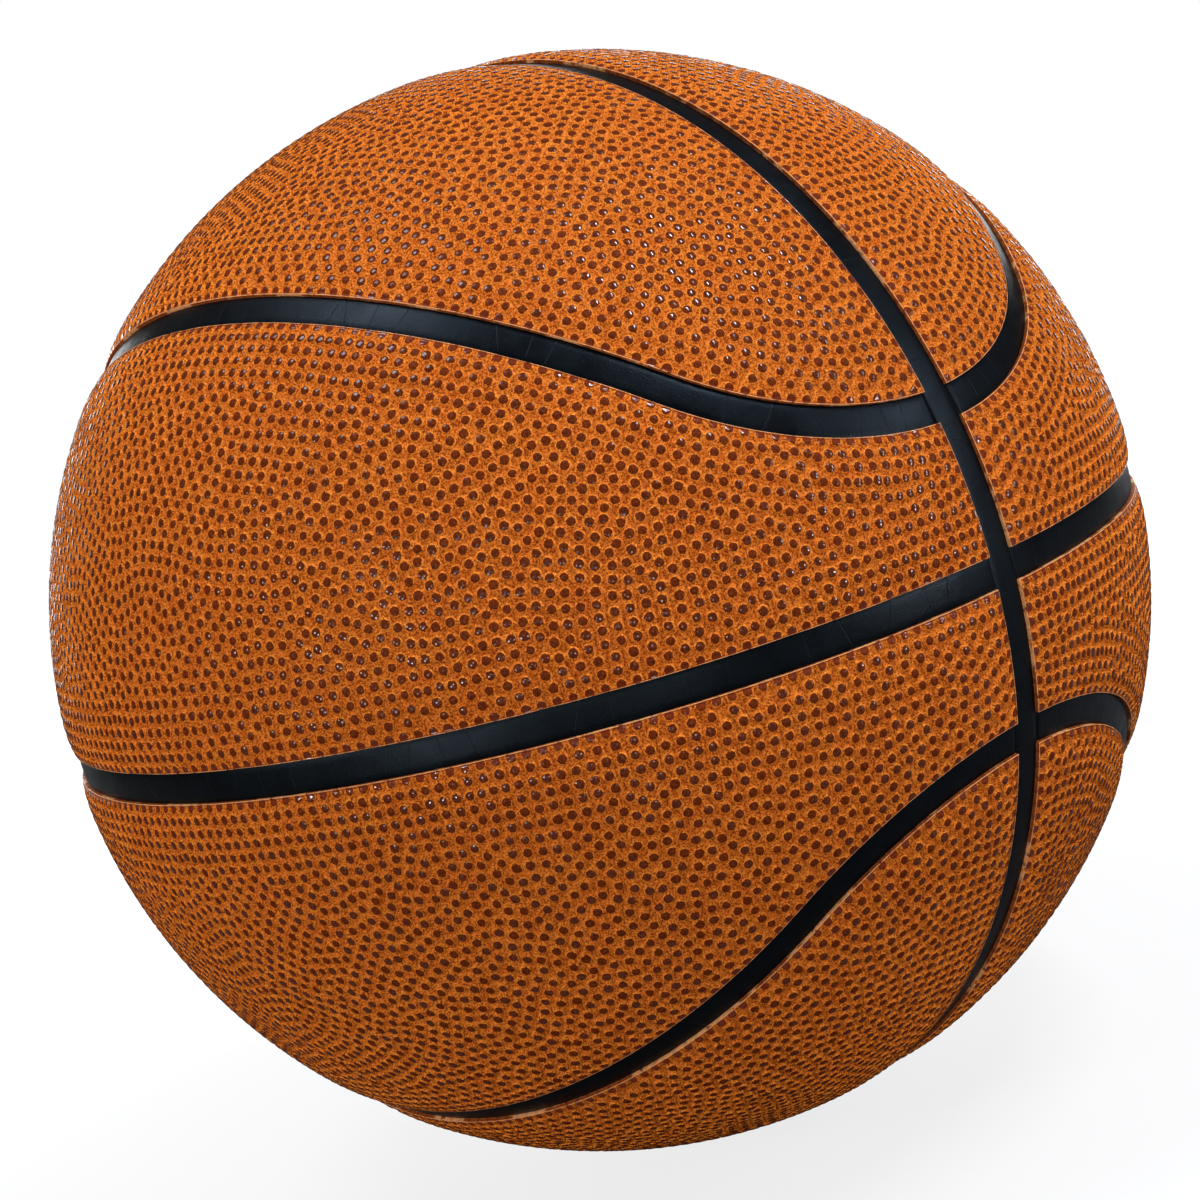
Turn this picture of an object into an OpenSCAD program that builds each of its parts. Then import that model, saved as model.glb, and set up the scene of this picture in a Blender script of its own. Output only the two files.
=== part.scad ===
// Moulded rubber basketball in its real layers. Eight cover panels and seven seam
// strips lie on a rubber carcass, over a thread winding and a bladder with its valve.
// The origin is the ball's centre. The ring seam lies in the XZ plane and the cross
// seam in the XY plane, so they cross at +X and -X. One loop seam goes round +Z and
// one round -Z. The valve points along -X. Top is +Z, and right is +Y, which is the
// right-hand side for someone who faces the crossing at +X.

/* [Ball] */
// Diameter over the cover
ball_d = 238.5; // [225:0.5:250]
// Thickness of the cover panels
cover_t = 2; // [1.5:0.1:2.5]

/* [Seams] */
// Width of the seam strips and of the channels between the panels
seam_w = 6.35; // [5.5:0.05:8]
// Thickness of the seam strips, which leaves the rest of the cover as channel depth
strip_t = 0.5; // [0.3:0.05:0.8]
// Angle at the ball's centre from a seam crossing to the tip of a loop
tip_angle = 16; // [12:0.5:22]
// Angle by which the sides of a loop rise above the cross seam
side_angle = 46; // [40:0.5:52]

/* [Under the cover] */
// Thickness of the rubber carcass
carcass_t = 0.5; // [0.4:0.05:1.2]
// Thickness of the thread winding
winding_t = 0.4; // [0.3:0.05:1]
// Thickness of the bladder
bladder_t = 0.6; // [0.5:0.05:1.5]

/* [Valve] */
// Diameter of the housing's stem, where it goes through the layers
stem_d = 9; // [8:0.1:11]
// Diameter of the housing's barrel, inside the bladder
barrel_d = 10.6; // [9:0.1:14]
// Length of the barrel below the bladder
barrel_l = 14; // [12:0.5:20]
// Diameter of the housing's flange, bonded inside the bladder
flange_d = 28; // [20:0.5:40]
// Thickness of the flange
flange_t = 0.8; // [0.5:0.1:2]
// Thickness of the cement between the flange and the bladder
cement_t = 0.05; // [0.02:0.01:0.2]
// Diameter of the self-sealing plug
plug_d = 5; // [4:0.1:5.4]
// Diameter of the plug's collar, which locks it in the housing
collar_d = 6.6; // [5.8:0.1:7.4]
// Length of the collar
collar_l = 2.4; // [1:0.1:4]
// Height of the collar above the bottom of the barrel
collar_rise = 3; // [1:0.1:6]
// Length of the plug's tail below the barrel
tail_l = 1.2; // [0.5:0.1:3]
// Diameter of the needle's bore in the plug
needle_d = 2; // [1.6:0.05:2.4]
// Depth of the needle's bore, below which the plug is a closed slit
needle_l = 8; // [5:0.1:10]
// Diameter of the bore's flared mouth
mouth_d = 3.2; // [2.6:0.1:3.8]
// Depth of the flared mouth
mouth_l = 0.6; // [0.3:0.1:1]

/* [Hidden] */
$fn = 128;

// Radii of the layers' outer faces, from the cover inwards, of the air space and of
// the valve's flange
ball_r = ball_d / 2;
carcass_r = ball_r - cover_t;
winding_r = carcass_r - carcass_t;
bladder_r = winding_r - winding_t;
air_r = bladder_r - bladder_t;
flange_r = air_r - cement_t;
strip_r = carcass_r + strip_t;

// How far the cutters run past what they cut, and the reach that clears the ball
overrun = cover_t;
reach = ball_r + overrun;

// A loop's sides are great circles through both crossings. Its tips are small
// circles that touch both sides: their radius and the place of their centre, as
// angles at the ball's centre, and half the arc that each side covers.
tip_radius_angle = atan2(sin(tip_angle) * cos(side_angle), 1 - cos(tip_angle) * cos(side_angle));
tip_centre_angle = tip_angle + tip_radius_angle;
side_half_span = atan2(cos(tip_centre_angle), sin(tip_centre_angle) * sin(side_angle));
// Angle by which a side stops short of the point where it touches the tip
side_stop_angle = 0.2;

// Heights on the valve's axis, measured from the ball's centre
barrel_z = flange_r - barrel_l;
collar_z = barrel_z + collar_rise;
tail_z = barrel_z - tail_l;
needle_z = strip_r - needle_l;

cover_colour = [0.79, 0.38, 0.11];
seam_colour = [0.06, 0.07, 0.08];
carcass_colour = [0.16, 0.15, 0.15];
winding_colour = [0.83, 0.80, 0.70];
bladder_colour = [0.10, 0.10, 0.11];
valve_colour = [0.12, 0.12, 0.12];

// A hollow ball between two radii
module shell(outer_r, inner_r) {
    difference() {
        sphere(outer_r);
        sphere(inner_r);
    }
}

// Everything on the right of the ring seam, and everything above the cross seam
module right_of_ring() {
    translate([-reach, seam_w / 2, -reach]) cube([2 * reach, reach, 2 * reach]);
}
module above_cross() {
    translate([-reach, -reach, seam_w / 2]) cube([2 * reach, 2 * reach, reach]);
}

// A place on a section through an axis: outwards from the centre along a line that
// leaves at an angle from the axis, then sideways, away from the axis
function placed_at(axis_angle, out, sideways) = [
    out * sin(axis_angle) + sideways * cos(axis_angle),
    out * cos(axis_angle) - sideways * sin(axis_angle),
];

// Half section of all that lies within a channel's wall. The seam's middle line is at
// an angle from the axis, and the wall is set sideways from it.
module within_wall(axis_angle, sideways) {
    foot = placed_at(axis_angle, carcass_r - overrun, sideways);
    mouth = placed_at(axis_angle, reach, sideways);
    polygon([[0, foot.y], foot, mouth, [mouth.x, 2 * reach], [0, 2 * reach]]);
}

// What lies within a wall of the top loop, on the right of the ring seam
module within_tip(sideways) {
    rotate([0, 90 - tip_centre_angle, 0])
        rotate_extrude() within_wall(tip_radius_angle, sideways);
}
module within_loop(sideways) {
    half_span = side_half_span - side_stop_angle;
    rotate([side_angle, 0, 0])
        rotate_extrude(start = 90 - half_span, angle = 2 * half_span)
            within_wall(90, sideways);
    within_tip(sideways);
    mirror([1, 0, 0]) within_tip(sideways);
}

// Section of a strip: it fills the channel's width and lies on the carcass
module strip_section() {
    intersection() {
        difference() {
            circle(strip_r);
            circle(carcass_r);
        }
        translate([0, -seam_w / 2]) square([reach, seam_w]);
    }
}

// Moves a piece from the top right to one of the four quarters
module placed(up, side) {
    mirror([0, 0, up < 0 ? 1 : 0]) mirror([0, side < 0 ? 1 : 0, 0]) children();
}

// Cover panel inside a loop, on one side of the ring seam
module loop_panel(up, side) {
    color(cover_colour) placed(up, side) intersection() {
        shell(ball_r, carcass_r);
        right_of_ring();
        within_loop(-seam_w / 2);
    }
}

// Cover panel between a loop and the cross seam
module band_panel(up, side) {
    color(cover_colour) placed(up, side) difference() {
        intersection() {
            shell(ball_r, carcass_r);
            right_of_ring();
            above_cross();
        }
        within_loop(seam_w / 2);
    }
}

// The one strip that runs unbroken through every crossing, with the valve's hole
module ring_strip() {
    color(seam_colour) difference() {
        rotate([90, 0, 0]) rotate_extrude() strip_section();
        valve_hole(plug_d);
    }
}

// Half of the cross seam, butted against the ring strip at both ends
module cross_strip(side) {
    color(seam_colour) placed(1, side) intersection() {
        rotate_extrude() strip_section();
        right_of_ring();
    }
}

// Half of a loop seam, butted against the ring strip at both ends
module loop_strip(up, side) {
    color(seam_colour) placed(up, side) difference() {
        intersection() {
            shell(strip_r, carcass_r);
            right_of_ring();
            within_loop(seam_w / 2);
        }
        within_loop(-seam_w / 2);
    }
}

// Turns a piece that is built along Z onto the valve's axis, -X
module on_valve_axis() {
    rotate([0, -90, 0]) children();
}

// Hole through the layers for the valve
module valve_hole(hole_d) {
    on_valve_axis() translate([0, 0, barrel_z]) cylinder(h = reach - barrel_z, d = hole_d);
}

// Layers under the cover, each with the hole for the valve's stem
module carcass() {
    color(carcass_colour) difference() {
        shell(carcass_r, winding_r);
        valve_hole(stem_d);
    }
}
module winding() {
    color(winding_colour) difference() {
        shell(winding_r, bladder_r);
        valve_hole(stem_d);
    }
}
module bladder() {
    color(bladder_colour) difference() {
        shell(bladder_r, air_r);
        valve_hole(stem_d);
    }
}

// Half sections of the plug and of the housing, on the valve's axis
module plug_section() {
    intersection() {
        circle(strip_r);
        translate([0, tail_z]) square([plug_d / 2, strip_r - tail_z]);
    }
    translate([0, collar_z]) square([collar_d / 2, collar_l]);
}
module needle_section() {
    translate([0, needle_z]) square([needle_d / 2, reach - needle_z]);
    polygon([
        [0, strip_r - mouth_l], [needle_d / 2, strip_r - mouth_l],
        [mouth_d / 2, strip_r], [mouth_d / 2, reach], [0, reach],
    ]);
}
module housing_section() {
    intersection() {
        circle(carcass_r);
        translate([0, barrel_z]) square([stem_d / 2, carcass_r - barrel_z]);
    }
    intersection() {
        circle(flange_r);
        translate([0, barrel_z]) square([barrel_d / 2, barrel_l]);
    }
    intersection() {
        difference() {
            circle(flange_r);
            circle(flange_r - flange_t);
        }
        square([flange_d / 2, flange_r]);
    }
}

// Rubber housing: a stem through the layers, a bonded flange and a barrel for the plug
module valve_housing() {
    color(valve_colour) on_valve_axis() rotate_extrude() difference() {
        housing_section();
        plug_section();
    }
}

// Self-sealing plug, flush with the ring strip, with the bore that takes the needle
module valve_plug() {
    color(valve_colour) on_valve_axis() rotate_extrude() difference() {
        plug_section();
        needle_section();
    }
}

loop_panel(1, 1);  // loop_panel_top_right
loop_panel(1, -1);  // loop_panel_top_left
loop_panel(-1, 1);  // loop_panel_bottom_right
loop_panel(-1, -1);  // loop_panel_bottom_left
band_panel(1, 1);  // band_panel_top_right
band_panel(1, -1);  // band_panel_top_left
band_panel(-1, 1);  // band_panel_bottom_right
band_panel(-1, -1);  // band_panel_bottom_left
ring_strip();
cross_strip(1);  // cross_strip_right
cross_strip(-1);  // cross_strip_left
loop_strip(1, 1);  // loop_strip_top_right
loop_strip(1, -1);  // loop_strip_top_left
loop_strip(-1, 1);  // loop_strip_bottom_right
loop_strip(-1, -1);  // loop_strip_bottom_left
carcass();
winding();
bladder();
valve_housing();
valve_plug();
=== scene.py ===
"""Looks of the basketball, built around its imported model.

The cover panels get their pebbles and their moulded lips as real relief, and the seam strips
get their rounded edges and butt joints. The layers under the cover and the valve keep their
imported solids. Lengths are in millimetres here, and become metres when a mesh is made.
"""

from math import asin, atan2, cos, pi, radians, sin, sqrt

import bmesh
import bpy
import numpy as np
from mathutils import Matrix, Quaternion, Vector, geometry, kdtree


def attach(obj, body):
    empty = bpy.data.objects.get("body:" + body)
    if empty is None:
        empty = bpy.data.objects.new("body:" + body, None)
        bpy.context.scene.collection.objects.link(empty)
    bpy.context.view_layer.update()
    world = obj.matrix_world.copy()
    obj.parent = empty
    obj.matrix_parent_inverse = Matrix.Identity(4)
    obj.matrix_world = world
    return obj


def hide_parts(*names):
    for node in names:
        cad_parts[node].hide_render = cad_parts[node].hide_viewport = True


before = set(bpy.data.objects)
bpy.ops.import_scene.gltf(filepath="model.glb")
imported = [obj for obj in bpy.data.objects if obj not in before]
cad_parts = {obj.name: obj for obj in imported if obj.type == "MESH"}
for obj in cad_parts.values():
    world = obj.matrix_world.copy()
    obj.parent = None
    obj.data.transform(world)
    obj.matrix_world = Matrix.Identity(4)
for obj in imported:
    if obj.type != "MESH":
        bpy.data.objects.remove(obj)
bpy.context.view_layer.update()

# the ball's sizes
BALL_R, CARCASS_R, STRIP_R = 119.25, 117.25, 117.75
HALF_W = 6.35 / 2                       # half the width of a seam
TIP, SIDE = radians(16), radians(46)    # where a loop starts, and how high its sides rise
TIP_R = atan2(sin(TIP) * cos(SIDE), 1 - cos(TIP) * cos(SIDE))
TIP_C = TIP + TIP_R
HALF_SPAN = atan2(cos(TIP_C), sin(TIP_C) * sin(SIDE))
SIDE_UP = np.array([0, -sin(SIDE), cos(SIDE)])      # normal of the side's great circle
SIDE_OUT = np.array([0, cos(SIDE), sin(SIDE)])      # middle of the side
TIP_AXIS = np.array([cos(TIP_C), 0, sin(TIP_C)])    # centre of the tip's small circle
TIP_DOWN = np.array([sin(TIP_C), 0, -cos(TIP_C)])
PLUG_R = 2.5

# the pebbles and the panels' edges
PITCH = 2.95                # between pebbles
ROW_SHARE = 0.866           # between rows of pebbles, in pitches
FIRST_ROW = 0.75            # from a wall to the first row of pebbles
TOP_R, FOOT_R = 0.82, 1.45  # radii of a pebble's top and foot
CROWN = 0.08                # how much a pebble's top is crowned
VALLEY = 0.85               # depth of the valleys between the pebbles
LIP = 0.3                   # width of the lip along a panel's edge
LIP_BLEND = 1.1             # width over which the lip passes into the pebbled face
LIP_LEVEL = -0.88           # the lip's level, from the ball's radius
ROLL, ROLL_W = 0.65, 8.0    # how far a panel's face rolls in towards its walls, and over what width
# radius, number of points and turn of each ring of points round a pebble's centre
PEBBLE_RINGS = ((0.66, 8, 0.0), (0.95, 9, 0.5), (1.36, 8, 0.2))
RING_WOBBLE = 0.02          # spread of the rings' radii
SIZE_SPREAD, SIZE_RANGE = 0.045, (0.88, 1.12)
# lengths of the stretches of a panel's outline, for the number of points on each
TIP_RUN, SIDE_RUN, RING_RUN, SHORT_RUN, CROSS_RUN = 62, 222, 308, 27, 368
# height of each kind of panel's middle over the cross seam, in degrees
MIDDLE = {"loop": 68, "band": 22}


def unit(v):
    v = np.asarray(v, float)
    return v / np.linalg.norm(v, axis=-1, keepdims=True)


# seams on the sphere
def seam_distances(p):
    """Distances of unit vectors from the middle lines of the ring, cross and loop seams."""
    along = np.arctan2(p[:, 0], p @ SIDE_OUT)
    to_tip = np.clip(np.c_[np.abs(p[:, 0]), p[:, 1:]] @ TIP_AXIS, -1, 1)
    loop = np.where(np.abs(along) < HALF_SPAN, np.arcsin(np.clip(p @ SIDE_UP, -1, 1)),
                    TIP_R - np.arccos(to_tip))
    return (BALL_R * np.arcsin(np.clip(p[:, 1], -1, 1)),
            BALL_R * np.arcsin(np.clip(p[:, 2], -1, 1)), BALL_R * loop)


def depth(kind, p):
    """How far inside a panel's walls each unit vector is."""
    ring, cross, loop = seam_distances(p)
    if kind == "loop":
        return np.minimum(ring, loop) - HALF_W
    return np.minimum(np.minimum(ring, cross), -loop) - HALF_W


def loop_line(inwards, start_y, counts):
    """The loop seam's line moved inwards, from its tip near +X over its side to the other."""
    r = TIP_R - inwards / BALL_R
    foot = np.array([sin(HALF_SPAN), 0, 0]) + cos(HALF_SPAN) * SIDE_OUT
    last = atan2(foot[1], foot @ TIP_DOWN)
    turn = np.linspace(asin(start_y / sin(r)), last, counts[0])[:, None]
    tip = cos(r) * TIP_AXIS + sin(r) * (np.cos(turn) * TIP_DOWN + np.sin(turn) * [[0, 1, 0]])
    phi = np.linspace(HALF_SPAN, -HALF_SPAN, counts[1] + 2)[1:-1, None]
    tilt = inwards / BALL_R
    side = sin(tilt) * SIDE_UP + cos(tilt) * (np.sin(phi) * [[1, 0, 0]] + np.cos(phi) * SIDE_OUT)
    return np.r_[tip, side, tip[::-1] * [-1, 1, 1]]


def flat_line(start, end, count, axis):
    """Part of the circle where the wall of a ring or cross seam cuts the sphere."""
    y, other = start[axis], 3 - axis
    t = np.linspace(atan2(start[other], start[0]), atan2(end[other], end[0]), count + 1)[:-1]
    line = np.zeros((count, 3))
    line[:, 0], line[:, other] = np.cos(t) * sqrt(1 - y * y), np.sin(t) * sqrt(1 - y * y)
    line[:, axis] = y
    return line


def border(kind, inside, step=0.72):
    """A panel's closed outline at a distance inside its walls, always with as many points."""
    a = sin((HALF_W + inside) / BALL_R)
    tips, side = int(TIP_RUN / step), int(SIDE_RUN / step)
    if kind == "loop":
        loop = loop_line(HALF_W + inside, a, (tips, side))
        return np.r_[loop[:-1], flat_line(loop[-1], loop[0], int(RING_RUN / step), 1)]
    loop = loop_line(-HALF_W - inside, a, (tips, side))
    near = np.array([sqrt(1 - 2 * a * a), a, a])
    far = near * [-1, 1, 1]
    short = int(SHORT_RUN / step)
    return np.r_[flat_line(near, loop[0], short, 1), loop[:-1],
                 flat_line(loop[-1], far, short, 1), flat_line(far, near, int(CROSS_RUN / step), 2)]


def even(line, step):
    """A closed line on the sphere resampled to an even step."""
    closed = np.r_[line, line[:1]] * BALL_R
    length = np.r_[0, np.cumsum(np.linalg.norm(np.diff(closed, axis=0), axis=1))]
    at = np.linspace(0, length[-1], max(3, round(length[-1] / step)) + 1)[:-1]
    return unit(np.stack([np.interp(at, length, closed[:, i]) for i in range(3)], 1))


# pebbles
def tree_of(points):
    tree = kdtree.KDTree(len(points))
    for i, p in enumerate(points.tolist()):
        tree.insert(p, i)
    tree.balance()
    return tree


def nearest(tree, p):
    """Number of the pebble nearest to each unit vector."""
    return np.array([tree.find(q)[1] for q in (p * BALL_R).tolist()])


def inward(kind, p):
    """Direction along the sphere in which the depth grows."""
    grad = np.stack([depth(kind, unit(p + 1e-4 * e)) - depth(kind, unit(p - 1e-4 * e))
                     for e in np.eye(3)], 1)
    return unit(grad - (grad * p).sum(1, keepdims=True) * p + 1e-12)


# how the pebbles settle: rounds, how often neighbours are looked up and how many (with the
# pebble itself), the gap in pitches at which two no longer push, and how far a push moves them
ROUNDS, LOOK_UP, NEIGHBOURS, PUSH_REACH, PUSH = 160, 4, 9, 1.36, 0.75
TRIES = 120000
CLEAR_OF_WALL = 0.45        # in pitches, inside the first row
# in rows: nothing comes nearer to the wall's row than NEAREST, what is under TOO_NEAR goes back
# to SET_BACK, and the pull into rows fades over FADE
NEAREST, TOO_NEAR, SET_BACK, FADE, PULL = 0.8, 0.9, 0.95, 5.5, 0.3


def pebble_centres(kind, rng):
    """A fixed row along the walls, and inside it rows that settle against it and each other."""
    wall = even(border(kind, FIRST_ROW), PITCH)
    tries = unit(rng.normal(size=(TRIES, 3)))
    tries[:, 1:] = np.abs(tries[:, 1:])
    inside = tries[depth(kind, tries) > FIRST_ROW + CLEAR_OF_WALL * PITCH]
    area = pi * BALL_R ** 2 * len(inside) / len(tries)
    free = inside[:int(area / (ROW_SHARE * PITCH ** 2))]
    row = ROW_SHARE * PITCH
    for i in range(ROUNDS):
        everything = np.r_[free, wall] * BALL_R
        if i % LOOK_UP == 0:
            tree = tree_of(everything)
            near = np.array([[n[1] for n in tree.find_n(p, NEIGHBOURS)]
                             for p in everything[:len(free)].tolist()])
        gap = everything[:len(free), None] - everything[near]
        length = np.linalg.norm(gap, axis=2, keepdims=True)
        share = np.clip(1 - length / (PUSH_REACH * PITCH), 0, 1)
        push = (gap / np.maximum(length, 1e-6) * share).sum(1)
        d = depth(kind, free)
        rows = np.clip((d - FIRST_ROW) / row, NEAREST, None)
        pull = (np.round(rows) - rows) * row * np.clip(1.15 - d / (FADE * row), 0, 1)
        pull = np.where(rows < TOO_NEAR, (SET_BACK - (d - FIRST_ROW) / row) * row, PULL * pull)
        free = unit(free * BALL_R + PUSH * push + pull[:, None] * inward(kind, free))
    return np.r_[free, wall]


def tangents(p):
    east = unit(np.cross(p, [[0.123, 0.456, 0.881]]))
    return east, np.cross(p, east)


def rings(centres, size, rng):
    """Points of each pebble's top, edge and foot, with the pebble that each belongs to."""
    east, north = tangents(centres)
    owner = np.arange(len(centres))
    found, whose = [centres], [owner]
    for radius, count, turn in PEBBLE_RINGS:
        for k in range(count):
            wobble = 1 + rng.normal(0, RING_WOBBLE, len(centres))
            angle = (2 * pi * (k + turn) / count + size * 40)[:, None]
            r = (radius * size * wobble / BALL_R)[:, None]
            found.append(unit(centres + r * (np.cos(angle) * east + np.sin(angle) * north)))
            whose.append(owner)
    return np.concatenate(found), np.concatenate(whose)


def relief(r, d):
    """Height over the ball's radius at a distance from a pebble's centre and from the wall."""
    top = -CROWN * np.clip(r / TOP_R, 0, 1) ** 2
    fall = np.clip((r - TOP_R) / (FOOT_R - TOP_R), 0, 1)
    roll = ROLL * np.clip(1 - d / ROLL_W, 0, 1) ** 2
    pebble = top - (VALLEY - CROWN) * fall * fall * (3 - 2 * fall) - roll
    blend = np.clip((d - LIP) / LIP_BLEND, 0, 1)
    return LIP_LEVEL + (pebble - LIP_LEVEL) * blend * blend * (3 - 2 * blend)


# meshes
def chart(p, middle):
    """Stereographic chart about a direction. Circles stay circles in it, so a Delaunay mesh in the
    chart is one on the sphere as well."""
    a, b = np.array([1.0, 0, 0]), np.cross(middle, [1.0, 0, 0])
    return np.stack([p @ a, p @ b], 1) / (1 + p @ middle)[:, None]


def filled(outline, inner, middle):
    """Triangles over the outline's points followed by the inner ones, turned outwards."""
    flat = chart(np.r_[outline, inner], middle)
    n = len(outline)
    ring = [(i, (i + 1) % n) for i in range(n)]
    out = geometry.delaunay_2d_cdt([Vector(q) for q in flat.tolist()], ring, [], 1, 1e-9)
    first = np.array([o[0] for o in out[3]])
    tris = first[np.array([f for f in out[2] if len(f) == 3])]
    p = np.r_[outline, inner][tris]
    flip = (np.cross(p[:, 1] - p[:, 0], p[:, 2] - p[:, 0]) * p[:, 0]).sum(1) < 0
    tris[flip] = tris[flip][:, ::-1]
    return tris


def make_mesh(name, verts, tris, maps=(), values=()):
    """A smooth mesh from millimetres, with UV maps (per corner) and attributes (name, domain,
    values)."""
    mesh = bpy.data.meshes.new(name)
    mesh.vertices.add(len(verts))
    mesh.vertices.foreach_set("co", (verts * 0.001).astype(np.float32).ravel())
    mesh.loops.add(len(tris) * 3)
    mesh.loops.foreach_set("vertex_index", tris.astype(np.int32).ravel())
    mesh.polygons.add(len(tris))
    mesh.polygons.foreach_set("loop_start", np.arange(0, 3 * len(tris), 3, dtype=np.int32))
    mesh.update(calc_edges=True)
    mesh.shade_smooth()
    for label, uv in maps:
        mesh.uv_layers.new(name=label).data.foreach_set("uv", uv.astype(np.float32).ravel())
    for label, domain, data in values:
        mesh.attributes.new(label, "FLOAT", domain).data.foreach_set("value", data.astype(np.float32))
    mesh.validate()
    return mesh


LIP_R = BALL_R + LIP_LEVEL
# a panel's wall from its foot to the lip: distance inside the channel's wall, and radius
WALL = ((0.05, CARCASS_R), (0.0, STRIP_R + 0.1), (0.0, LIP_R - 0.16), (0.02, LIP_R),
        (0.07, LIP_R + 0.08), (0.16, LIP_R + 0.07), (LIP, LIP_R))


def lip_row(kind, inside):
    """An outline of a panel, a little wavy as a moulded edge is, but never into the strip."""
    line, inner = border(kind, inside), border(kind, inside + 0.1)
    x, y, z = (line * BALL_R).T
    # waves of about 30, 13 and 6 mm
    wave = (np.sin(0.21 * x + 1.3 * np.sin(0.17 * z)) + np.sin(0.47 * y + 0.31 * x)
            + 0.6 * np.sin(1.1 * z - 0.9 * x))
    return unit(line + (inner - line) * 0.35 * np.clip(wave - 0.2, 0, 2)[:, None])


OFF_PEBBLE = 9.0      # a place beyond any pebble, for the underside
CHART = 196.0         # side of the chart for baking


def panel_mesh(kind, seed):
    """A cover panel in the top right quarter, with its UV maps and attributes."""
    rng = np.random.default_rng(seed)
    middle = np.array([0, cos(radians(MIDDLE[kind])), sin(radians(MIDDLE[kind]))])
    centres = pebble_centres(kind, rng)
    size = np.clip(rng.normal(1, SIZE_SPREAD, len(centres)), *SIZE_RANGE)
    tree = tree_of(centres * BALL_R)
    inner, owner = rings(centres, size, rng)
    # only points on their own pebble and clear of the lip, and a row of points along the lip
    inner = inner[(nearest(tree, inner) == owner) & (depth(kind, inner) > LIP + 0.22)]
    inner = np.r_[inner, border(kind, LIP + 0.3, 1.1)]
    owner = nearest(tree, inner)
    own_distance = np.linalg.norm(inner - centres[owner], axis=1) * BALL_R / size[owner]
    inner_r = BALL_R + relief(own_distance, depth(kind, inner))

    rows = [lip_row(kind, inside) for inside, _ in WALL]
    n = len(rows[0])
    # scattered points for the underside
    under = unit(rng.normal(size=(9000, 3)))
    under[:, 1:] = np.abs(under[:, 1:])
    under = under[depth(kind, under) > 3][:700]
    top = filled(rows[-1], inner, middle)
    bottom = filled(rows[0], under, middle)[:, ::-1]

    verts = np.concatenate([row * r for row, (_, r) in zip(rows, WALL)]
                           + [inner * inner_r[:, None], under * CARCASS_R])
    base = n * (len(WALL) - 1)
    walls = []
    i = np.arange(n)
    j = (i + 1) % n
    for k in range(len(WALL) - 1):
        a, b = k * n, (k + 1) * n
        walls += [np.stack([a + i, a + j, b + j], 1), np.stack([a + i, b + j, b + i], 1)]
    walls = np.concatenate(walls)
    first, second, third = verts[walls.T]
    outward = np.cross(second - first, third - first)
    if (outward * (first - BALL_R * middle)).sum() < 0:
        walls = walls[:, ::-1]
    low = np.where(bottom < n, bottom, bottom - n + len(verts) - len(under))
    tris = np.concatenate([top + base, walls, low])

    # place from the nearest pebble's centre, per corner, in millimetres of a pebble of mean size
    direction = unit(verts)
    face_owner = nearest(tree, unit(direction[tris].mean(1)))
    east, north = tangents(centres)
    corner = direction[tris] - centres[face_owner][:, None]
    scale = (BALL_R / size[face_owner])[:, None]
    local = np.stack([(corner * east[face_owner][:, None]).sum(2) * scale,
                      (corner * north[face_owner][:, None]).sum(2) * scale], 2)
    local[len(top) + len(walls):] = OFF_PEBBLE

    # chart for baking: the panel unrolled along its long great circle in two halves, one above
    # the other, with the wall folded out and the underside small in a corner
    charted = direction.copy()
    high = 0.0
    for k in range(len(WALL) - 1, 0, -1):
        (d1, r1), (d0, r0) = WALL[k], WALL[k - 1]
        high += sqrt((d1 - d0) ** 2 + (r1 - r0) ** 2)
        charted[(k - 1) * n:k * n] = lip_row(kind, LIP - high)
    across = np.cross([1.0, 0, 0], middle)
    long = np.arctan2(charted[:, 0], charted @ middle) * BALL_R
    wide = np.arcsin(np.clip(charted @ across, -1, 1)) * BALL_R
    half = (long[tris].mean(1) > 0)[:, None]
    bake = np.stack([(np.where(half, long[tris], long[tris] + pi / 2 * BALL_R) + 4) / CHART,
                     (wide[tris] + np.where(half, 3 * CHART / 4, CHART / 4)) / CHART], 2)
    low_map = bake[len(top) + len(walls):]
    low_map[:] = 0.003 + 0.008 * low_map
    tone = rng.random(len(centres))[face_owner]
    return verts, tris, bake, local, depth(kind, direction), tone


def turned(quarter):
    """Half turns that carry the top right quarter to the others, so that no pattern is mirrored."""
    return {(1, 1): np.array([1, 1, 1]), (1, -1): np.array([-1, -1, 1]),
            (-1, 1): np.array([-1, 1, -1]), (-1, -1): np.array([1, -1, -1])}[quarter]


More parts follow.
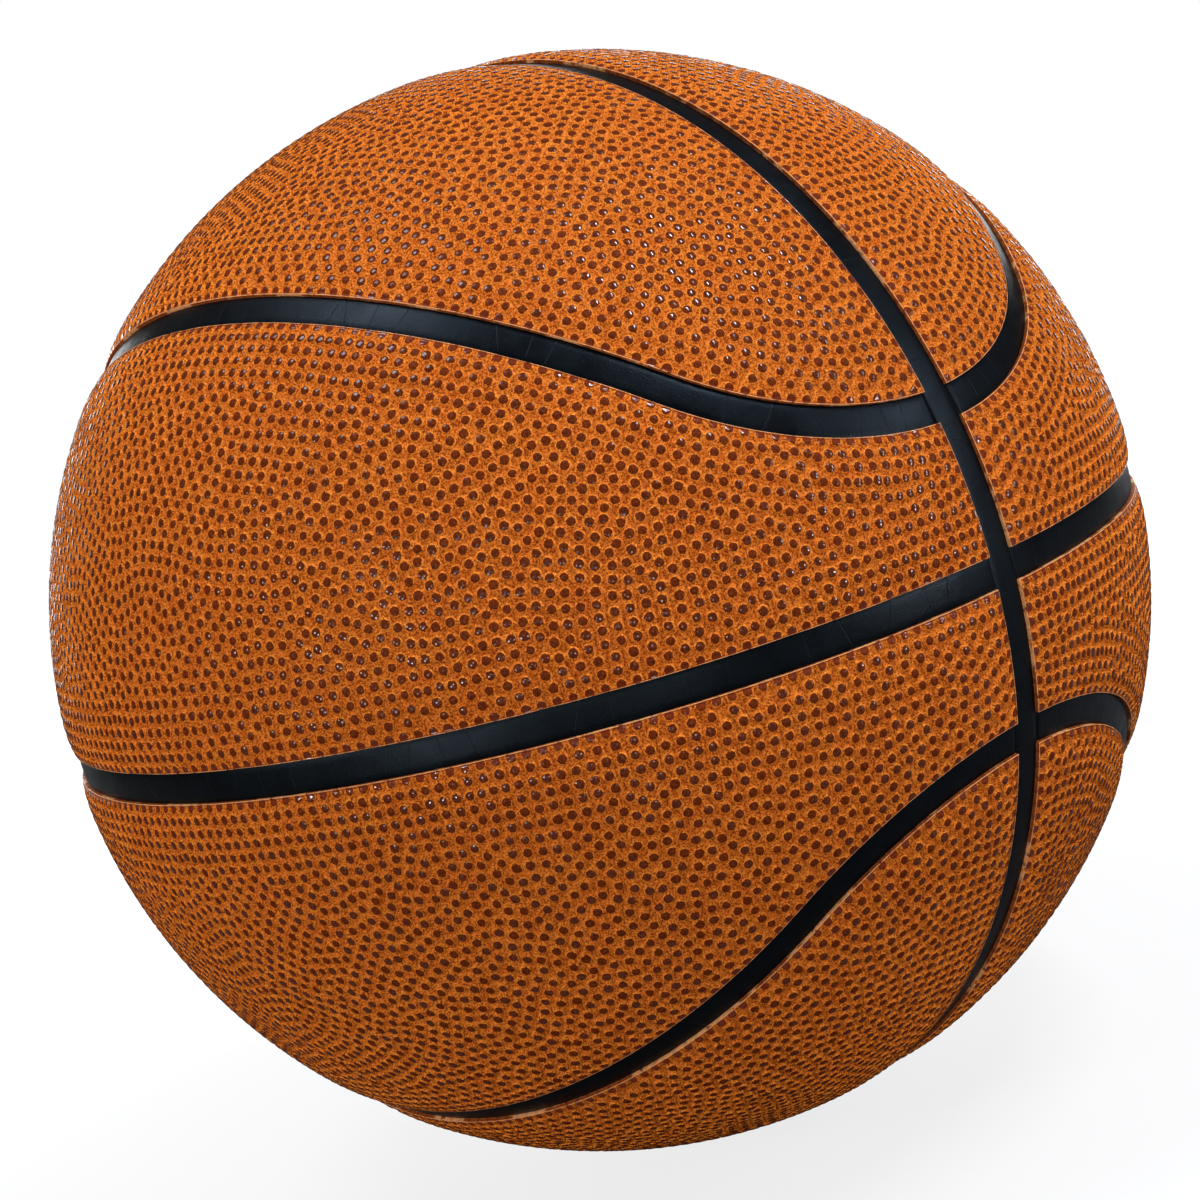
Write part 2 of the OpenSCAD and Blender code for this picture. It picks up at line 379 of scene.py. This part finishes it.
# materials
class Shader:
    """A node material with one Principled shader and short calls to add nodes."""

    def __init__(self, name, **values):
        self.material = bpy.data.materials.new(name)
        self.material.use_nodes = True
        self.tree = self.material.node_tree
        self.principled = self.tree.nodes["Principled BSDF"]
        for key, value in values.items():
            self.principled.inputs[key.replace("_", " ")].default_value = value

    def add(self, kind, inputs=None, out=0, **props):
        n = self.tree.nodes.new(kind)
        for key, value in props.items():
            setattr(n, key, value)
        for key, value in (inputs or {}).items():
            if isinstance(value, bpy.types.NodeSocket):
                self.tree.links.new(value, n.inputs[key])
            else:
                n.inputs[key].default_value = value
        return n.outputs[out]

    def math(self, operation, a, b):
        return self.add("ShaderNodeMath", {0: a, 1: b}, operation=operation)

    def ramp(self, value, low, high, to_low=0.0, to_high=1.0):
        """Smooth step of a value between two limits, which may also fall."""
        return self.add("ShaderNodeMapRange", {0: value, 1: low, 2: high, 3: to_low, 4: to_high},
                        interpolation_type="SMOOTHSTEP")

    def noise(self, vector, scale, detail=2.0, rough=0.5):
        return self.add("ShaderNodeTexNoise", {"Vector": vector, "Scale": scale, "Detail": detail,
                                               "Roughness": rough})

    def mix(self, share, a, b):
        n = self.tree.nodes.new("ShaderNodeMix")
        n.data_type = "RGBA"
        for key, value in ((0, share), (6, a), (7, b)):
            if isinstance(value, bpy.types.NodeSocket):
                self.tree.links.new(value, n.inputs[key])
            else:
                n.inputs[key].default_value = value
        return n.outputs[2]

    def set(self, key, socket):
        self.tree.links.new(socket, self.principled.inputs[key])

    def bump(self, height, strength, distance):
        self.set("Normal", self.add("ShaderNodeBump", {"Height": height, "Strength": strength,
                                                       "Distance": distance}))


def srgb(r, g, b):
    """Linear colour from values as a picture has them, 0 to 255."""
    def linear(c):
        c /= 255
        return c / 12.92 if c <= 0.04045 else ((c + 0.055) / 1.055) ** 2.4
    return (linear(r), linear(g), linear(b), 1)


def cover_material():
    """Orange rubber with dark glossy pebble tops, painted shade on the pebbles' flanks, in the valleys,
    in the groove beside the lip and on the wall, and a painted highlight on the pebbles' rims and on
    the lip.
    """
    s = Shader("cover_rubber", Specular_IOR_Level=0.02, Coat_Roughness=0.04)
    place = s.add("ShaderNodeTexCoord", out=3)
    local = s.add("ShaderNodeUVMap", uv_map="Pebble")
    edge = s.add("ShaderNodeAttribute", attribute_name="Edge", out=2)
    tone = s.add("ShaderNodeAttribute", attribute_name="Tone", out=2)
    away = s.add("ShaderNodeVectorMath", {0: local}, operation="LENGTH", out=1)
    grain = s.noise(place, 2700, 1.5, 0.75)
    wobble = s.noise(place, 1100, 1.0)
    # distance from the pebble's centre, made uneven, and the parts of a pebble by it
    reach = s.math("ADD", away, s.math("MULTIPLY", s.math("SUBTRACT", wobble, 0.5), 0.4))
    flat = s.ramp(reach, 0.8, 0.64)
    top = s.ramp(reach, 0.92, 0.82)
    painted_rim_highlight = s.math("MULTIPLY", s.ramp(reach, 1.12, 0.98), s.ramp(reach, 0.84, 0.94))
    painted_flank_shade = s.math("MULTIPLY", s.ramp(reach, 0.95, 1.08), s.ramp(reach, 1.4, 1.2))
    painted_valley_shade = s.ramp(reach, 1.15, 1.5)
    # the orange rubber: blotches, wide clouds, painted shade on the slopes and in the valleys, a
    # painted highlight on the rims, and grain
    blotch = s.noise(place, 240, 3.0, 0.6)
    wide = s.noise(place, 28, 2.0)
    orange = s.mix(s.ramp(blotch, 0.3, 0.7), srgb(212, 104, 28), srgb(226, 124, 38))
    orange = s.mix(s.math("MULTIPLY", s.ramp(wide, 0.35, 0.7), 0.3), orange, srgb(210, 98, 27))
    # painted shade on each pebble's steep flank
    orange = s.mix(s.math("MULTIPLY", painted_flank_shade, 0.12), orange, srgb(146, 66, 16))
    # painted shade in the valleys between the pebbles
    orange = s.mix(s.math("MULTIPLY", painted_valley_shade, 0.4), orange, srgb(150, 68, 18))
    # painted highlight: a pale ring where a pebble's top rounds over
    orange = s.mix(s.math("MULTIPLY", painted_rim_highlight, 0.25), orange, srgb(250, 154, 62))
    orange = s.mix(s.math("MULTIPLY", s.ramp(grain, 0.5, 0.38), 0.85), orange, srgb(104, 40, 8))
    orange = s.mix(s.math("MULTIPLY", s.ramp(grain, 0.5, 0.64), 0.4), orange, srgb(253, 160, 70))
    # the dark tops, which are redder beside a wall
    dark = s.mix(tone, srgb(80, 27, 7), srgb(62, 19, 4))
    dark = s.mix(s.math("MULTIPLY", s.ramp(grain, 0.45, 0.68), 0.35), dark, srgb(140, 54, 20))
    near = s.ramp(edge, 1.9, 0.5)
    dark = s.mix(s.math("MULTIPLY", near, 0.5), dark, srgb(118, 40, 18))
    colour = s.mix(s.math("MULTIPLY", top, 0.96), orange, dark)
    # painted shade in the groove inside the lip and on the wall, and a painted highlight on the lip, by
    # the distance from the wall
    painted_groove_shade = s.math("MULTIPLY", s.ramp(edge, 0.55, 0.3), s.ramp(edge, 0.1, 0.2))
    # painted shade in the groove just inside the lip
    colour = s.mix(s.math("MULTIPLY", painted_groove_shade, 0.6), colour, srgb(98, 32, 14))
    # painted shade on the panel's wall down into the channel
    colour = s.mix(s.math("MULTIPLY", s.ramp(edge, 0.03, 0.005), 0.8), colour, srgb(120, 52, 22))
    painted_lip_highlight = s.math("MULTIPLY", s.ramp(edge, 0.2, 0.13), s.ramp(edge, 0.005, 0.03))
    painted_lip_highlight = s.math("MULTIPLY", painted_lip_highlight, s.ramp(wobble, 0.25, 0.48))
    # painted highlight along the lip's rounded edge
    colour = s.mix(s.math("MULTIPLY", painted_lip_highlight, 0.6), colour, srgb(246, 180, 124))
    s.set("Base Color", colour)
    s.set("Roughness", s.math("SUBTRACT", 0.65, s.math("MULTIPLY", top, 0.25)))
    s.set("Coat Weight", s.math("MULTIPLY", flat, s.ramp(tone, 0.25, 0.9, 0.03, 0.65)))
    height = s.math("MULTIPLY", grain, s.math("SUBTRACT", 1.0, s.math("MULTIPLY", top, 0.6)))
    shoulder = s.math("MULTIPLY", s.ramp(away, 1.3, 0.8), s.ramp(edge, 0.4, 1.2))
    s.bump(s.math("ADD", height, shoulder), 1.0, 0.00025)
    return s.material


def strip_material():
    """Black satin rubber with a fine grain and a few creases across, their shade painted into the
    colour.
    """
    s = Shader("seam_rubber", Specular_IOR_Level=0.12, Specular_Tint=(0.6, 0.8, 1.0, 1.0))
    place = s.add("ShaderNodeTexCoord", out=3)
    along = s.add("ShaderNodeUVMap", uv_map="Strip")
    grain = s.noise(place, 3000, 2.0, 0.65)
    soft = s.noise(place, 160, 2.0)
    stretched = s.add("ShaderNodeMapping", {"Vector": along, "Scale": (0.11, 0.02, 1.0)})
    crease = s.add("ShaderNodeTexVoronoi", {"Vector": stretched, "Scale": 1.0, "Randomness": 1.0},
                   feature="DISTANCE_TO_EDGE")
    line = s.ramp(crease, 0.01, 0.002)
    tint = s.mix(s.ramp(soft, 0.3, 0.75), srgb(2, 2, 3), srgb(4, 6, 8))
    tint = s.mix(s.math("MULTIPLY", s.ramp(grain, 0.5, 0.7), 0.4), tint, srgb(13, 18, 24))
    # painted shade: the creases darken the strip's colour, besides their bump
    s.set("Base Color", s.mix(s.math("MULTIPLY", line, 0.25), tint, srgb(2, 3, 4)))
    s.set("Roughness", s.ramp(soft, 0.2, 0.8, 0.3, 0.42))
    height = s.math("SUBTRACT", s.math("MULTIPLY", grain, 0.8), s.math("MULTIPLY", line, 0.4))
    s.bump(height, 0.6, 0.0001)
    return s.material


def plain_rubber(name, colour, roughness, scale, strength):
    """Cloudy rubber of one colour with a fine bump."""
    s = Shader(name, Roughness=roughness)
    place = s.add("ShaderNodeTexCoord", out=3)
    cloud = s.noise(place, 90, 3.0)
    dark = tuple(0.6 * c for c in colour[:3]) + (1,)
    s.set("Base Color", s.mix(s.ramp(cloud, 0.3, 0.7), dark, colour))
    s.bump(s.noise(place, scale, 3.0, 0.6), strength, 0.0001)
    return s.material


def thread_material():
    """Wound thread: three directions of fine parallel turns laid over each other."""
    s = Shader("winding_thread", Roughness=0.75)
    place = s.add("ShaderNodeTexCoord", out=3)
    height = None
    for turn in ((0.0, 0.0, 0.0), (0.9, 0.5, 0.3), (0.4, 1.1, 1.4)):
        spun = s.add("ShaderNodeMapping", {"Vector": place, "Rotation": turn})
        wave = s.add("ShaderNodeTexWave", {"Vector": spun, "Scale": 420.0, "Distortion": 1.2,
                                           "Detail": 1.0, "Detail Scale": 0.05})
        height = wave if height is None else s.math("MAXIMUM", height, wave)
    s.set("Base Color", s.mix(height, srgb(150, 138, 104), srgb(226, 218, 190)))
    s.bump(height, 0.8, 0.0002)
    return s.material


# pieces
def piece(mesh, material, node):
    """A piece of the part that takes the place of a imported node."""
    mesh.materials.append(material)
    o = bpy.data.objects.new(mesh.name, mesh)
    bpy.context.scene.collection.objects.link(o)
    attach(o, "root")
    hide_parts(node)
    return o


def outwards(mesh):
    """Turns all the faces of a closed mesh outwards."""
    work = bmesh.new()
    work.from_mesh(mesh)
    bmesh.ops.recalc_face_normals(work, faces=work.faces)
    work.to_mesh(mesh)
    work.free()


# section of a strip: sideways from its middle line, and radius
PROFILE = ((-HALF_W, CARCASS_R), (-HALF_W, STRIP_R - 0.2), (-HALF_W + 0.05, STRIP_R - 0.12),
           (-HALF_W + 0.2, STRIP_R - 0.06), (-1.6, STRIP_R - 0.02), (0, STRIP_R),
           (1.6, STRIP_R - 0.02), (HALF_W - 0.2, STRIP_R - 0.06), (HALF_W - 0.05, STRIP_R - 0.12),
           (HALF_W, STRIP_R - 0.2), (HALF_W, CARCASS_R))
UP_FACE = range(3, 7)               # the section's edges that make the strip's upper face
END_DROP, END_RUN = 0.1, 0.2        # rounding of a butt end: drop, and the length that it takes
HOLE_ROWS, HOLE_POINTS = 3, 32      # rows opened each way round the hole, and the hole's points


def pierced(loop, flat, hole):
    """Triangles between a loop and a round hole inside it, both given by their points in the flat."""
    n, m = len(loop), len(hole)
    edges = [(i, (i + 1) % n) for i in range(n)] + [(n + i, n + (i + 1) % m) for i in range(m)]
    points = np.r_[flat[loop], flat[hole]]
    out = geometry.delaunay_2d_cdt([Vector(q) for q in points.tolist()], edges, [], 1, 1e-6)
    first = np.array([o[0] for o in out[3]])
    tris = first[np.array([f for f in out[2] if len(f) == 3])]
    tris = tris[~(tris >= n).all(1)]
    return np.r_[loop, hole][tris]


def strip_mesh(middle_line, sideways, closed=False, holed=None):
    """A closed band along a line of unit vectors, with rounded edges, and with a round hole that
    is centred on one row of its points where that row and the hole's radius are given."""
    n, m = len(middle_line), len(PROFILE)
    step = np.linalg.norm(np.diff(np.r_[middle_line, middle_line[:1]], axis=0), axis=1) * STRIP_R
    along = np.r_[0, np.cumsum(step)]
    length = along[n] if closed else along[n - 1]
    verts = []
    for i in range(n):
        ends = min(along[i], length - along[i])
        drop = 0.0 if closed else END_DROP * max(0.0, 1 - ends / END_RUN) ** 2
        for s, r in PROFILE:
            low = r - (drop if r > CARCASS_R else 0)
            verts.append(sqrt(low * low - s * s) * middle_line[i] + s * sideways[i])
    path = [0.0]
    for a, b in zip(PROFILE, PROFILE[1:]):
        path.append(path[-1] + sqrt((a[0] - b[0]) ** 2 + (a[1] - b[1]) ** 2))
    path.append(path[-1] + 2 * HALF_W)
    rows = range(0)
    if holed:
        rows = range(holed[0] - HOLE_ROWS, holed[0] + HOLE_ROWS)
    tris, uv = [], []
    for i in range(n if closed else n - 1):
        j = (i + 1) % n
        for k in range(m):
            if i in rows and (k in UP_FACE or k == m - 1):
                continue
            o = (k + 1) % m
            tris += [(i * m + k, j * m + k, j * m + o), (i * m + k, j * m + o, i * m + o)]
            a, b, c, d = ((along[i], path[k]), (along[i + 1], path[k]), (along[i + 1], path[k + 1]),
                          (along[i], path[k + 1]))
            uv += [(a, b, c), (a, c, d)]
    if holed:
        centre, radius = holed
        first, last = rows[0], rows[-1] + 1
        flat = np.array([(along[i], s) for i in range(n) for s, _ in PROFILE])
        angle = np.linspace(0, 2 * pi, HOLE_POINTS + 1)[:-1]
        dots = np.stack([along[centre] + radius * np.cos(angle), radius * np.sin(angle)], 1)
        ahead = np.cross(sideways[centre], middle_line[centre])
        for (x, s), r in [(q, STRIP_R - 0.02) for q in dots] + [(q, CARCASS_R) for q in dots]:
            x -= along[centre]
            out = sqrt(r * r - s * s - x * x)
            verts.append(out * middle_line[centre] + s * sideways[centre] + x * ahead)
        flat = np.r_[flat, dots, dots]
        ring = len(flat) - 2 * len(dots) + np.arange(len(dots))
        low, high = UP_FACE[0], UP_FACE[-1] + 1
        upper = ([i * m + low for i in range(first, last)]
                 + [last * m + k for k in range(low, high)]
                 + [i * m + high for i in range(last, first, -1)]
                 + [first * m + k for k in range(high, low, -1)])
        lower = ([i * m for i in range(first, last + 1)]
                 + [i * m + m - 1 for i in range(last, first - 1, -1)])
        top = pierced(np.array(upper), flat, ring)
        under = pierced(np.array(lower), flat, ring + len(dots))[:, ::-1]
        i, j = ring, np.roll(ring, -1)
        wall = np.r_[np.stack([i, j, j + len(dots)], 1), np.stack([i, j + len(dots), i + len(dots)], 1)]
        extra = np.r_[top, under, wall]
        tris += extra.tolist()
        uv += (flat[extra] + [0, path[5]]).tolist()
    if not closed:
        for first in (0, (n - 1) * m):
            for k in range(1, m - 1):
                tris.append((first, first + k, first + k + 1))
                uv.append(((0, 0), (0, 0), (0, 0)))
    return np.array(verts), np.array(tris), np.array(uv, float)


def circle(angles, a, b):
    """Unit vectors of a great circle through two of its directions."""
    c, s = np.cos(angles)[:, None], np.sin(angles)[:, None]
    return c * np.array([a], float) + s * np.array([b], float)


cover, seam = cover_material(), strip_material()
NAMES = {(1, 1): "top_right", (1, -1): "top_left", (-1, 1): "bottom_right", (-1, -1): "bottom_left"}
for kind, seed in (("loop", 11), ("band", 23)):
    verts, tris, bake, local, edge, tone = panel_mesh(kind, seed)
    for quarter, place in NAMES.items():
        turn = turned(quarter)
        name = "%s_panel_%s" % (kind, place)
        mesh = make_mesh("pebbled_" + name, verts * turn, tris, (("OFBake", bake), ("Pebble", local)),
                         (("Edge", "POINT", edge), ("Tone", "FACE", tone)))
        piece(mesh, cover, name)
    print(name, len(tris), "triangles", flush=True)

# each strip's middle line, its sideways direction (None where it follows the line), and whether
# it is closed
X, Y, Z = np.eye(3)
lines = {"ring_strip": (circle(np.linspace(0, 2 * pi, 361)[:-1], X, Z), [0, 1, 0], True)}
end = asin(HALF_W / STRIP_R) + 0.0001
ends = np.r_[end, end + 0.0008, end + 0.0016]
half = np.r_[ends, np.linspace(end + 0.003, pi - end - 0.003, 180), pi - ends[::-1]]
lines["cross_strip_right"] = (circle(half, X, Y), [0, 0, 1], False)
lines["cross_strip_left"] = (circle(-half, X, Y), [0, 0, 1], False)
loop_mid = loop_line(0.0, (HALF_W + 0.01) / BALL_R, (60, 150))
for quarter, place in NAMES.items():
    lines["loop_strip_" + place] = (loop_mid * [1, quarter[1], quarter[0]], None, False)
for name, (line, sideways, closed) in lines.items():
    if sideways is None:
        ahead = np.gradient(line, axis=0)
        sideways = unit(np.cross(line, ahead))
    else:
        sideways = np.tile(np.array(sideways, float), (len(line), 1))
    verts, tris, uv = strip_mesh(line, sideways, closed, (len(line) // 2, PLUG_R) if closed else None)
    mesh = make_mesh("moulded_" + name, verts, tris, (("Strip", uv),))
    outwards(mesh)
    piece(mesh, seam, name)

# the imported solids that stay
CARRIED = (("carcass", plain_rubber("carcass_rubber", srgb(52, 49, 48), 0.8, 900, 0.5)),
           ("winding", thread_material()),
           ("bladder", plain_rubber("bladder_rubber", srgb(34, 34, 37), 0.45, 500, 0.2)),
           ("valve_housing", plain_rubber("housing_rubber", srgb(40, 40, 41), 0.6, 1500, 0.3)),
           ("valve_plug", plain_rubber("plug_rubber", srgb(36, 37, 39), 0.5, 2500, 0.3)))
for node, material in CARRIED:
    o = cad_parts[node]
    o.data.materials.clear()
    o.data.materials.append(material)

# camera, floor and light
# the camera's own axes
RIGHT = Vector((0.63919, 0.72046, -0.26903))
UP = Vector((0.05014, 0.31003, 0.9494))
BACK = Vector((0.76741, -0.62034, 0.16204))
DISTANCE = 4.932      # from the ball's centre, in radii
PICTURE, BALL_IN_PICTURE = 1200, 551.6      # the picture's width and the ball's radius in it
camera = bpy.data.cameras.new("camera")
camera.sensor_width = 36
camera.lens = camera.sensor_width * BALL_IN_PICTURE * sqrt(DISTANCE ** 2 - 1) / PICTURE
camera.clip_end = 20
eye = bpy.data.objects.new("camera", camera)
turn = Matrix((RIGHT, UP, BACK)).transposed().to_4x4()
eye.matrix_world = Matrix.Translation(BACK * DISTANCE * BALL_R * 0.001) @ turn
bpy.context.scene.collection.objects.link(eye)
bpy.context.scene.camera = eye


def softbox(name, direction, distance, size, power, colour=(1, 1, 1), roll=0.0):
    """An area lamp that faces the ball, placed by a direction in the camera's own axes."""
    d = (RIGHT * direction[0] + UP * direction[1] + BACK * direction[2]).normalized()
    lamp = bpy.data.lights.new(name, "AREA")
    lamp.shape, lamp.size, lamp.size_y = "RECTANGLE", size[0], size[1]
    lamp.energy, lamp.color = power, colour
    o = bpy.data.objects.new(name, lamp)
    o.location = d * distance
    o.rotation_euler = (d.to_track_quat("Z", "Y") @ Quaternion((0, 0, 1), roll)).to_euler()
    bpy.context.scene.collection.objects.link(o)


COOL = (0.96, 1.05, 1.18)
# name, direction, distance and size in metres, power, and where given colour and roll. Narrow
# and small ones make the glints on the pebbles, large ones fill.
LAMPS = (
    ("top_lamp", (0.25, 0.87, 0.42), 1.0, (0.05, 0.42), 7.0, COOL, radians(-30)),
    ("top_left_lamp", (-0.55, 0.76, 0.25), 1.1, (0.45, 0.45), 5.6, COOL),
    ("front_lamp", (-0.3, -0.07, 0.95), 1.5, (0.08, 0.08), 1.5),
    ("low_front_lamp", (0.15, -0.15, 0.97), 1.5, (0.14, 0.14), 2.9),
    ("right_lamp", (0.8, 0.5, 0.33), 1.1, (0.05, 0.3), 2.3, COOL, radians(-20)),
    ("low_left_lamp", (-0.86, -0.08, 0.5), 1.2, (0.14, 0.14), 3.0),
    ("low_right_lamp", (0.85, 0.15, 0.5), 1.1, (0.14, 0.14), 2.9),
    ("foot_lamp", (-0.5, -0.35, 0.79), 1.3, (0.16, 0.16), 4.7),
    ("back_top_lamp", (0.05, 0.45, -0.9), 1.1, (0.5, 0.5), 3.6),
    ("back_left_lamp", (-0.5, 0.1, -0.86), 1.2, (0.4, 0.4), 3.0),
    ("back_right_lamp", (0.4, 0.32, -0.86), 1.2, (0.4, 0.4), 3.0))
for lamp in LAMPS:
    softbox(*lamp)

# a dim graded world that camera rays see as white
world = bpy.data.worlds.new("studio")
world.use_nodes = True
bpy.context.scene.world = world
tree = world.node_tree
tree.nodes.clear()
place = tree.nodes.new("ShaderNodeTexCoord")
dot = tree.nodes.new("ShaderNodeVectorMath")
dot.operation = "DOT_PRODUCT"
dot.inputs[1].default_value = UP
tree.links.new(place.outputs["Generated"], dot.inputs[0])
grade = tree.nodes.new("ShaderNodeMapRange")
# from the dimmest strength, low in the picture, to the strongest, high in it
for key, value in (("From Min", -0.7), ("From Max", 0.9), ("To Min", 0.05), ("To Max", 0.12)):
    grade.inputs[key].default_value = value
tree.links.new(dot.outputs["Value"], grade.inputs[0])
rays = tree.nodes.new("ShaderNodeLightPath")
lit, seen = tree.nodes.new("ShaderNodeBackground"), tree.nodes.new("ShaderNodeBackground")
tree.links.new(grade.outputs[0], lit.inputs["Strength"])
either = tree.nodes.new("ShaderNodeMixShader")
tree.links.new(rays.outputs["Is Camera Ray"], either.inputs[0])
tree.links.new(lit.outputs[0], either.inputs[1])
tree.links.new(seen.outputs[0], either.inputs[2])
lit.inputs["Color"].default_value = (1, 1, 1, 1)
seen.inputs["Color"].default_value = (1, 1, 1, 1)
out = tree.nodes.new("ShaderNodeOutputWorld")
tree.links.new(either.outputs[0], out.inputs["Surface"])

# a dim floor that camera rays see as white but for the shadow
s = Shader("floor", Roughness=0.9, Base_Color=(0.15, 0.15, 0.15, 1), Specular_IOR_Level=0.1)
place = s.add("ShaderNodeTexCoord", out=3)
away = s.add("ShaderNodeVectorMath", {0: place}, operation="LENGTH", out=1)
glow = s.ramp(away, 0.1, 0.5, 0.8, 1.0)
camera_ray = s.add("ShaderNodeLightPath", out=0)
white = s.add("ShaderNodeEmission", {"Color": (1, 1, 1, 1),
                                     "Strength": s.math("MULTIPLY", glow, camera_ray)})
both = s.add("ShaderNodeAddShader", {0: s.principled.outputs[0], 1: white})
s.tree.links.new(both, s.tree.nodes["Material Output"].inputs["Surface"])
floor = bpy.data.meshes.new("floor")
low = -BALL_R * 0.001
floor.from_pydata([(-1, -1, low), (1, -1, low), (1, 1, low), (-1, 1, low)], [], [(0, 1, 2, 3)])
floor.materials.append(s.material)
floor = bpy.data.objects.new("floor", floor)
bpy.context.scene.collection.objects.link(floor)

bpy.context.scene.view_settings.view_transform = "Standard"
